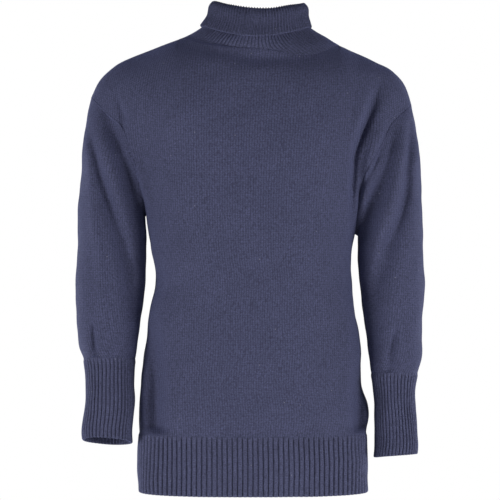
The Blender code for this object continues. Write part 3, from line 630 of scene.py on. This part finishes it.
def rib_lift(ribs, phase, distance):
    """The height of the ribbing: round ridges between sharp furrows, growing from its start."""
    wave = RIDGE_RISE * np.abs(np.sin(pi * phase)) ** RIDGE_POWER - FURROW_DROP
    return ribs.height * wave * ease(distance / ribs.rise)


def ribbed(points, closed, ribs, start, edges):
    """A ribbed sheet whose columns run along its ribs; start is the row where the ribs begin."""
    phase = np.broadcast_to(np.arange(points.shape[1]) / RIB_POINTS, points.shape[:2])
    length = run_length(points, 0, ALL_WAYS)
    distance = length if start == 0 else length[-1:] - length
    lift = rib_lift(ribs, phase, distance)
    stitches = np.stack((phase, length / COURSE), axis=-1)
    return Sheet(points, closed, stitches, RIBBING, lift, edges)


def hem_rib(face):
    places = np.linspace(-1, 1, HALF_SAMPLES)
    curve = body_point(places, RIB_LINE, face)
    across = even_places(curve, places, HEM_RIBS.count * RIB_POINTS)
    height = RIB_LINE - BODY_HEIGHTS[0]
    heights = BODY_HEIGHTS[0] + height * edge_steps(height, RIB_STEP)
    points = body_point(*grid(heights, across)[::-1], face)
    return ribbed(points, False, HEM_RIBS, -1, (FREE, KNITTED_ON, SEAM, SEAM))


def sleeve_girth(side, turns, points):
    """How far round a level section each point lies from the sleeve's outer line."""
    levels = np.linspace(SLEEVES[side][-1].z, SLEEVES[side][0].z, GIRTH_LEVELS)
    angles = np.linspace(0, pi, GIRTH_ANGLES)
    girths = girth_length(sleeve_section(side, *grid(levels, angles)))
    height = points[..., 2]
    outer = sleeve_section(side, height, 0.0)[..., 0]
    inner = sleeve_section(side, height, pi)[..., 0]
    share = np.clip((points[..., 0] - outer) / (inner - outer), 0, 1)
    turned = np.arccos(1 - 2 * share)
    between = ease(np.minimum(turned, pi - turned) / TURN_BLEND)
    turned = turned * between + np.abs(turns) * (1 - between)
    level = np.interp(height, levels, np.arange(GIRTH_LEVELS))
    place = turned / pi * (GIRTH_ANGLES - 1)
    row = np.clip(level.astype(int), 0, GIRTH_LEVELS - 2)
    column = np.clip(place.astype(int), 0, GIRTH_ANGLES - 2)
    over = place - column
    lower = girths[row, column] * (1 - over) + girths[row, column + 1] * over
    upper = girths[row + 1, column] * (1 - over) + girths[row + 1, column + 1] * over
    girth = lower + (upper - lower) * (level - row)
    return np.where(turns < 0, -girth, girth)


def sleeve(side):
    angles = np.linspace(-pi, pi, 2 * round(SLEEVE_GIRTH / CLOTH_STEP / 2) + 1)
    ledge = np.linspace(-1, 0, LEDGE_STEPS + 1)[:-1]
    downs, turns = grid(np.concatenate((ledge, edge_steps(SLEEVE_LENGTH, CLOTH_STEP))), angles)
    points = sleeve_point(side, turns, downs)
    wales = sleeve_girth(side, turns, points) / WALE
    courses = -points[..., 2] / COURSE
    return Sheet(points, True, np.stack((wales, courses), axis=-1), CLOTH, None, (SEAM, KNITTED_ON))


def cuff(side):
    turns = np.linspace(-pi, pi, HALF_SAMPLES)
    curve = cuff_point(side, turns, np.full(turns.shape, 0.5))
    angles = even_places(curve, turns, CUFF_RIBS.count * RIB_POINTS)
    downs, angles = grid(edge_steps(CUFF_LENGTH, RIB_STEP), angles)
    points = cuff_point(side, angles, downs)
    return ribbed(points, True, CUFF_RIBS, 0, (KNITTED_ON, FREE))


def neck_seam_curve():
    """The neck seam all round, as its points and the collar's angles there."""
    halves = []
    for face in ("front", "back"):
        across = np.linspace(NECK_COLUMN, -NECK_COLUMN, SEAM_SAMPLES)
        halves.append(fitted_yoke(across, column_top(across, face), face))
    seam = np.concatenate((halves[0], halves[1][::-1][1:]))
    depths = np.where(seam[:, 1] < 0, NECK_DEPTHS["front"], NECK_DEPTHS["back"])
    angles = np.arctan2(-seam[:, 1] / depths, (seam[:, 0] - NECK_MIDDLE) / NECK_HALF)
    return seam, np.unwrap(angles)


def collar():
    seam, seam_angles = neck_seam_curve()
    turns = np.linspace(0, 2 * pi, COLLAR_SAMPLES)
    curve = ring_point(COLLAR_RINGS[-2], turns)
    angles = even_places(curve, turns, COLLAR_RIBS.count * RIB_POINTS)
    seam_angles = seam_angles - seam_angles[0]
    seam_angles = seam_angles / seam_angles[-1] * 2 * pi
    start = np.stack([np.interp(angles, seam_angles, values) for values in seam.T], axis=-1)
    rings = np.array([start] + [ring_point(ring, angles) for ring in COLLAR_RINGS])
    rows = run_length(rings, 0, ALL_WAYS).mean(axis=1)
    at = rows[-1] * edge_steps(rows[-1], COLLAR_STEP)
    points = smooth(rows, rings.reshape(len(rings), -1), at).reshape(len(at), -1, 3)
    return ribbed(points[:, ::-1], True, COLLAR_RIBS, 0, (SEAM, FREE))


def mirrored(sheet):
    """The sheet with its columns the other way round, so that its normals turn over."""
    ribs = None if sheet.ribs is None else sheet.ribs[:, ::-1]
    return sheet._replace(points=sheet.points[:, ::-1], stitches=sheet.stitches[:, ::-1], ribs=ribs)


def across_slopes(points, closed):
    if not closed:
        return np.gradient(points, axis=1)
    ring = np.concatenate((points[:, -2:-1], points, points[:, 1:2]), axis=1)
    return np.gradient(ring, axis=1)[:, 1:-1]


def unit(vectors):
    return vectors / np.linalg.norm(vectors, axis=-1, keepdims=True)


def edge_distances(sheet):
    """How far every point lies from each of the sheet's edges."""
    down = run_length(sheet.points, 0, ALL_WAYS)
    distances = [down, down[-1:] - down]
    if not sheet.closed:
        over = run_length(sheet.points, 1, ALL_WAYS)
        distances += [over, over[:, -1:] - over]
    return distances


def edge_lines(values):
    return values[0], values[-1], values[:, 0], values[:, -1]


def seam_normals(sheets):
    """The normals of all sheets, drawn together where two of them meet along a seam."""
    normals = {}
    for name, sheet in sheets.items():
        rise = np.gradient(sheet.points, axis=0)
        normals[name] = unit(np.cross(across_slopes(sheet.points, sheet.closed), rise))
    lines = []
    for name, sheet in sheets.items():
        count = len(sheet.edges)
        places = edge_lines(sheet.points)[:count]
        ways = edge_lines(normals[name])[:count]
        lines.extend((name, place, way) for place, way in zip(places, ways))
    places = np.concatenate([place for _, place, _ in lines])
    ways = np.concatenate([way for _, _, way in lines])
    owners = [name for name, place, _ in lines for _ in range(len(place))]
    tree = KDTree(len(places))
    for index, place in enumerate(places):
        tree.insert(place, index)
    tree.balance()
    shared = {}
    for name, sheet in sheets.items():
        result = normals[name].copy()
        distances = edge_distances(sheet)
        for side in range(len(sheet.edges)):
            edge = edge_lines(sheet.points)[side]
            own = edge_lines(normals[name])[side]
            met = np.array([meeting_normal(tree, owners, ways, name, *pair) for pair in zip(edge, own)])
            change = met - own
            change = change[None] if side < 2 else change[:, None]
            result += change * (1 - ease(distances[side] / SEAM_BLEND))[..., None]
        shared[name] = unit(result)
    return shared


def meeting_normal(tree, owners, ways, name, place, own):
    """The mean of a sheet's normal at its edge and those of the sheets that meet it there."""
    seen = {name}
    total = Vector(own)
    for _, index, _ in sorted(tree.find_range(place, SEAM_REACH), key=lambda found: found[2]):
        if owners[index] not in seen:
            seen.add(owners[index])
            total = total + Vector(ways[index])
    return total.normalized()


def trimmed(sheet, normals):
    """The sheet's points with its edges drawn back by half the seam gap."""
    points = sheet.points.copy()
    lines = ((0, 1), (-1, -2))
    for edge, inner in lines:
        run = across_slopes(points[edge][None], sheet.closed)[0]
        points[edge] += drawn_back(run, points[inner] - points[edge], normals[edge])
    if not sheet.closed:
        for edge, inner in lines:
            run = np.gradient(points[:, edge], axis=0)
            points[:, edge] += drawn_back(run, points[:, inner] - points[:, edge], normals[:, edge])
    return points


def drawn_back(run, inward, normals):
    way = np.cross(run, normals)
    way = way * np.sign((way * inward).sum(axis=-1, keepdims=True))
    return unit(way) * SEAM_GAP / 2


def wall_shares(sheet):
    """The share of the wall's thickness at each point, less beside rounded edges."""
    share = np.ones(sheet.points.shape[:2])
    for edge, distance in zip(sheet.edges, edge_distances(sheet)):
        near = np.clip(1 - distance / edge.reach, 0, 1)
        share *= 1 - edge.loss * (1 - np.sqrt(1 - near ** 2))
    return share


def quads(index, stitches, turned):
    """The faces of a grid of vertex numbers, with the stitch coordinates of their corners."""
    corners = ((0, 0), (0, 1), (1, 1), (1, 0))
    order = corners[::-1] if turned else corners
    rows, places = index.shape
    faces = [index[i:rows - 1 + i, j:places - 1 + j].ravel() for i, j in order]
    spots = [stitches[i:rows - 1 + i, j:places - 1 + j].reshape(-1, 2) for i, j in order]
    return np.stack(faces, axis=-1), np.stack(spots, axis=1)


def add_object(name, data):
    item = bpy.data.objects.new(name, data)
    bpy.context.scene.collection.objects.link(item)
    return item


def wall_faces(index, layer, sheet):
    """The faces round two layers of vertices, with the stitch coordinates of their corners."""
    spots = sheet.stitches
    groups = [quads(index, spots, False), quads(index + layer, spots, True)]
    rims = [(index[:1], spots[:1], True), (index[-1:], spots[-1:], False)]
    if not sheet.closed:
        rims.append((index[:, :1].T, spots[:, :1].transpose(1, 0, 2), False))
        rims.append((index[:, -1:].T, spots[:, -1:].transpose(1, 0, 2), True))
    for line, ends, turned in rims:
        band = np.concatenate((line, line + layer))
        groups.append(quads(band, np.concatenate((ends, ends)), turned))
    faces, corners = zip(*groups)
    return np.concatenate(faces), np.concatenate(corners)


def make_wall(name, sheet, normals, material):
    """Build a closed thin wall round the sheet."""
    points = trimmed(sheet, normals)
    half = (wall_shares(sheet) * sheet.thickness / 2)[..., None] * normals
    lift = 0 if sheet.ribs is None else sheet.ribs[..., None] * normals
    rows, places = points.shape[:2]
    own = places - 1 if sheet.closed else places
    index = np.arange(rows * own).reshape(rows, own)
    if sheet.closed:
        index = np.concatenate((index, index[:, :1]), axis=1)
    faces, corners = wall_faces(index, rows * own, sheet)
    layers = [(points + lift + way * half)[:, :own].reshape(-1, 3) for way in (1, -1)]
    mesh = bpy.data.meshes.new(name + "_knit")
    mesh.from_pydata(np.concatenate(layers).tolist(), [], faces.tolist())
    mesh.update()
    stitches = mesh.uv_layers.new(name="stitches")
    stitches.uv.foreach_set("vector", corners.astype(np.float32).ravel())
    mesh.shade_smooth()
    mesh.materials.append(material)
    return add_object(name + "_knit", mesh)


def folded(name, sheet):
    """The sheet with its folds pressed in."""
    points = sheet.points.copy()
    distance = np.minimum.reduce(edge_distances(sheet))
    for fold in (item for item in FOLDS if name in PARTS.get(item.part, (item.part,))):
        outward = -1 if fold.face == "front" else 1
        line = along(fold.line, np.linspace(0, 1, FOLD_POINTS))
        gap = np.linalg.norm(sheet.points[..., None, FROM_FRONT] - line, axis=-1)
        part = gap.argmin(axis=-1) / (FOLD_POINTS - 1)
        width = fold.start_width + (fold.end_width - fold.start_width) * part
        press = fold.height * np.exp(-(gap.min(axis=-1) / width) ** 2)
        press = press * np.sin(pi * np.clip(part, FOLD_ENDS, 1 - FOLD_ENDS)) ** FOLD_FULLNESS
        if fold.hold:
            press = press * ease(distance / fold.hold)
        facing = ease(outward * sheet.points[..., 1] / SIDE_REACH)
        points[..., 1] += outward * press * facing
    return sheet._replace(points=points)


def uneven(points):
    """The height of the slow waves at the points."""
    height = np.zeros(points.shape[:-1])
    for wave in WAVES:
        way = unit(np.array((wave.x, wave.y, wave.z)))
        height += wave.height * np.sin(points @ way * 2 * pi / wave.length)
    return height


class Nodes:
    """Short ways to add and link shader nodes."""

    def __init__(self, tree):
        self.tree = tree

    def add(self, kind, **settings):
        node = self.tree.nodes.new("ShaderNode" + kind)
        for key, value in settings.items():
            setattr(node, key, value)
        return node

    def feed(self, socket, value):
        if hasattr(value, "is_output"):
            self.tree.links.new(value, socket)
        else:
            socket.default_value = value

    def math(self, operation, *values):
        node = self.add("Math", operation=operation)
        for socket, value in zip(node.inputs, values):
            self.feed(socket, value)
        return node.outputs[0]

    def noise(self, place, noise):
        node = self.add("TexNoise")
        self.feed(node.inputs["Vector"], place)
        node.inputs["Scale"].default_value = noise.scale
        node.inputs["Detail"].default_value = noise.detail
        return node.outputs["Fac"]

    def between(self, value, low, high, to_low, to_high):
        node = self.add("MapRange", clamp=True)
        for key, number in (("From Min", low), ("From Max", high), ("To Min", to_low), ("To Max", to_high)):
            node.inputs[key].default_value = number
        self.feed(node.inputs["Value"], value)
        return node.outputs["Result"]

    def scaled(self, colour, value):
        node = self.add("VectorMath", operation="SCALE")
        self.feed(node.inputs[0], colour)
        self.feed(node.inputs["Scale"], value)
        return node.outputs[0]


# The noises of the wool: their scale, their detail and how far they reach to either side
Noise = namedtuple("Noise", "scale detail reach")
WALE_WOBBLE = Noise(scale=260.0, detail=2.0, reach=0.18)
COURSE_WOBBLE = Noise(scale=190.0, detail=2.0, reach=0.30)
YARN_MOTTLE = Noise(scale=420.0, detail=3.0, reach=0.36)
CLOTH_MOTTLE = Noise(scale=9.0, detail=2.0, reach=0.04)
FUZZ = Noise(scale=1500.0, detail=2.0, reach=0.35)
MOTTLE_LOW = 0.3
MOTTLE_HIGH = 0.7

# A stitch has two legs that meet as a V: their slope as a share of a course, how much their height
# varies, and the bend and start of their round section. Painted shade darkens the wool's colour in the
# furrows between stitches, and a painted highlight makes it lightest from the lit height up.
LEG_SLOPE = 0.6
LEG_RELIEF = 0.22
LEG_BEND = 1.2
HUMP_START = 0.25
LIT_HEIGHT = 0.9
PAINTED_HIGHLIGHT = 1.1

# Pale fibres: the scale of their cells, the share of cells that has one, the radius of its full
# colour and of its rim in shares of a cell, and how much of the wool it covers
FIBRE_SCALE = 85.0
FIBRE_CHANCE = 0.14
FIBRE_CORE = 0.05
FIBRE_RIM = 0.09
FIBRE_COVER = 0.3
FIBRE_COLOUR = (0.42, 0.42, 0.47, 1.0)

# How the wool takes light
WOOL_SURFACE = {
    "Roughness": 0.92,
    "Specular IOR Level": 0.25,
    "Sheen Weight": 0.28,
    "Sheen Roughness": 0.45,
    "Sheen Tint": (0.40, 0.46, 1.0, 1.0),
}
BUMP_STRENGTH = 0.7

# The two knits: their colour, the painted shade in a furrow between stitches, and a stitch's depth
Knit = namedtuple("Knit", "name colour furrow depth")
STOCKING = Knit(name="knit_wool", colour=(0.063, 0.068, 0.132), furrow=0.45, depth=0.0010)
RIB = Knit(name="rib_wool", colour=(0.066, 0.071, 0.134), furrow=0.40, depth=0.0006)


def wobble(nodes, place, noise):
    """A noise to either side of 0."""
    return nodes.math("MULTIPLY_ADD", nodes.noise(place, noise), 2 * noise.reach, -noise.reach)


def mottle(nodes, place, noise):
    """A noise to either side of 1."""
    value = nodes.noise(place, noise)
    return nodes.between(value, MOTTLE_LOW, MOTTLE_HIGH, 1 - noise.reach, 1 + noise.reach)


def stitch_height(nodes, place):
    """The height of the stitches, from 0 in the furrows between them to 1."""
    stitches = nodes.add("SeparateXYZ")
    nodes.feed(stitches.inputs[0], nodes.add("UVMap", uv_map="stitches").outputs[0])
    wale = nodes.math("ADD", stitches.outputs[0], wobble(nodes, place, WALE_WOBBLE))
    course = nodes.math("ADD", stitches.outputs[1], wobble(nodes, place, COURSE_WOBBLE))
    off_middle = nodes.math("SUBTRACT", nodes.math("FRACT", wale), 0.5)
    side = nodes.math("MULTIPLY", nodes.math("ABSOLUTE", off_middle), 2.0)
    sloped = nodes.math("SUBTRACT", course, nodes.math("MULTIPLY", side, LEG_SLOPE))
    leg = nodes.math("COSINE", nodes.math("MULTIPLY", sloped, 2 * pi))
    leg = nodes.math("MULTIPLY_ADD", leg, LEG_RELIEF, 1 - LEG_RELIEF)
    bent = nodes.math("POWER", side, LEG_BEND)
    turn = nodes.math("MULTIPLY_ADD", bent, (1 - HUMP_START) * pi, HUMP_START * pi)
    hump = nodes.math("MAXIMUM", nodes.math("SINE", turn), 0.0)
    return nodes.math("MULTIPLY", leg, hump)


def pale_fibres(nodes, place):
    """1 on the sparse pale fibres and 0 elsewhere."""
    cells = nodes.add("TexVoronoi")
    nodes.feed(cells.inputs["Vector"], place)
    cells.inputs["Scale"].default_value = FIBRE_SCALE
    draw = nodes.add("SeparateColor")
    nodes.feed(draw.inputs[0], cells.outputs["Color"])
    near = nodes.between(cells.outputs["Distance"], FIBRE_CORE, FIBRE_RIM, 1.0, 0.0)
    return nodes.math("MULTIPLY", near, nodes.math("GREATER_THAN", draw.outputs[0], 1 - FIBRE_CHANCE))


def new_material(name, surface):
    """A material with the given values on its shader, and that shader."""
    material = bpy.data.materials.new(name)
    material.use_nodes = True
    shader = material.node_tree.nodes["Principled BSDF"]
    for socket, value in surface.items():
        shader.inputs[socket].default_value = value
    return material, shader


def wool(knit):
    """Knitted wool: stitches, painted shade in their furrows and highlight on their tops, mottled yarn,
    sparse pale fibres and a soft sheen.
    """
    material, shader = new_material(knit.name, WOOL_SURFACE)
    nodes = Nodes(material.node_tree)
    place = nodes.add("TexCoord").outputs["Object"]
    height = stitch_height(nodes, place)
    mottled = nodes.math("MULTIPLY", mottle(nodes, place, YARN_MOTTLE), mottle(nodes, place, CLOTH_MOTTLE))
    # Painted shade and highlight: the colour darkened in the furrows between stitches and lightened on
    # their tops
    painted_stitch_shade = nodes.between(height, 0.0, LIT_HEIGHT, knit.furrow, PAINTED_HIGHLIGHT)
    mix = nodes.add("Mix", data_type="RGBA")
    nodes.feed(mix.inputs["Factor"], nodes.math("MULTIPLY", pale_fibres(nodes, place), FIBRE_COVER))
    nodes.feed(mix.inputs["A"], nodes.scaled(knit.colour, nodes.math("MULTIPLY", mottled, painted_stitch_shade)))
    mix.inputs["B"].default_value = FIBRE_COLOUR
    nodes.feed(shader.inputs["Base Color"], mix.outputs["Result"])
    bump = nodes.add("Bump")
    bump.inputs["Strength"].default_value = BUMP_STRENGTH
    bump.inputs["Distance"].default_value = knit.depth
    fuzzy = nodes.math("MULTIPLY_ADD", nodes.noise(place, FUZZ), FUZZ.reach, height)
    nodes.feed(bump.inputs["Height"], fuzzy)
    nodes.feed(shader.inputs["Normal"], bump.outputs["Normal"])
    return material


# Floor, camera and light
WHITE = (1.0, 1.0, 1.0, 1.0)
FLOOR_Z = -1.35
FLOOR_HALF = 5.0
FLOOR_SURFACE = {
    "Base Color": (0.02, 0.02, 0.02, 1.0),
    "Roughness": 1.0,
    "Emission Color": WHITE,
    "Emission Strength": 0.74,
}
CAMERA_PLACE = (-0.003, -3.2, -0.315)
CAMERA_LENS = 153.6
SENSOR = 36.0
MIDDLE = Vector((0.0, 0.0, -0.32))
Light = namedtuple("Light", "name place size power")
LIGHTS = (
    Light("front_left", (-2.62, -1.88, -0.54), 1.4, 64.0),
    Light("front_right", (2.62, -1.88, -0.54), 1.4, 66.0),
    Light("side_left", (-3.0, 0.5, -0.50), 1.6, 11.0),
    Light("side_right", (3.0, 0.5, -0.50), 1.6, 12.0),
    Light("back_left", (-2.4, 2.1, -0.80), 1.4, 32.0),
    Light("back_right", (2.4, 2.1, -0.80), 1.4, 26.0),
)
SKY_WHITE = 1.0
SKY_LIGHT = 0.06


def make_camera():
    data = bpy.data.cameras.new("camera")
    data.lens = CAMERA_LENS
    data.sensor_width = SENSOR
    camera = add_object("camera", data)
    camera.location = CAMERA_PLACE
    camera.rotation_euler = (pi / 2, 0.0, 0.0)
    bpy.context.scene.camera = camera


def make_lights():
    for light in LIGHTS:
        data = bpy.data.lights.new(light.name, "AREA")
        data.shape = "SQUARE"
        data.size = light.size
        data.energy = light.power
        lamp = add_object(light.name, data)
        lamp.location = light.place
        lamp.rotation_euler = (MIDDLE - Vector(light.place)).to_track_quat("-Z", "Y").to_euler()


def make_sky():
    """White all round to look at, and softer as a light."""
    world = bpy.data.worlds.new("studio")
    world.use_nodes = True
    nodes = Nodes(world.node_tree)
    sky = world.node_tree.nodes["Background"]
    sky.inputs["Color"].default_value = WHITE
    seen = nodes.add("LightPath").outputs["Is Camera Ray"]
    nodes.feed(sky.inputs["Strength"], nodes.math("MULTIPLY_ADD", seen, SKY_WHITE - SKY_LIGHT, SKY_LIGHT))
    bpy.context.scene.world = world


def make_floor():
    mesh = bpy.data.meshes.new("floor")
    corners = [(x, y, FLOOR_Z) for x, y in ((-1, -1), (1, -1), (1, 1), (-1, 1))]
    mesh.from_pydata([(x * FLOOR_HALF, y * FLOOR_HALF, z) for x, y, z in corners], [], [(0, 1, 2, 3)])
    mesh.materials.append(new_material("floor_paint", FLOOR_SURFACE)[0])
    floor = add_object("floor", mesh)


# What each piece was cut or knitted to before it was worn: width, length, and the flat area where
# the piece isn't a rectangle
Cut = namedtuple("Cut", "width length area", defaults=(None,))


def make_sweater():
    sheets = {
        "front": panel("front"),
        "back": mirrored(panel("back")),
        "hem_rib_front": hem_rib("front"),
        "hem_rib_back": mirrored(hem_rib("back")),
        "collar": collar(),
        "sleeve_left": sleeve("left"),
        "sleeve_right": mirrored(sleeve("right")),
        "cuff_left": cuff("left"),
        "cuff_right": mirrored(cuff("right")),
    }
    sheets = {name: folded(name, sheet) for name, sheet in sheets.items()}
    normals = seam_normals(sheets)
    stocking = wool(STOCKING)
    rib = wool(RIB)
    for name, sheet in sheets.items():
        waved = sheet.points + normals[name] * uneven(sheet.points)[..., None]
        material = stocking if sheet.ribs is None else rib
        piece = make_wall(name, sheet._replace(points=waved), normals[name], material)
        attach(piece, "root")
        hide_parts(name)


bpy.context.scene.view_settings.view_transform = "Standard"
make_sweater()
make_camera()
make_lights()
make_sky()
make_floor()
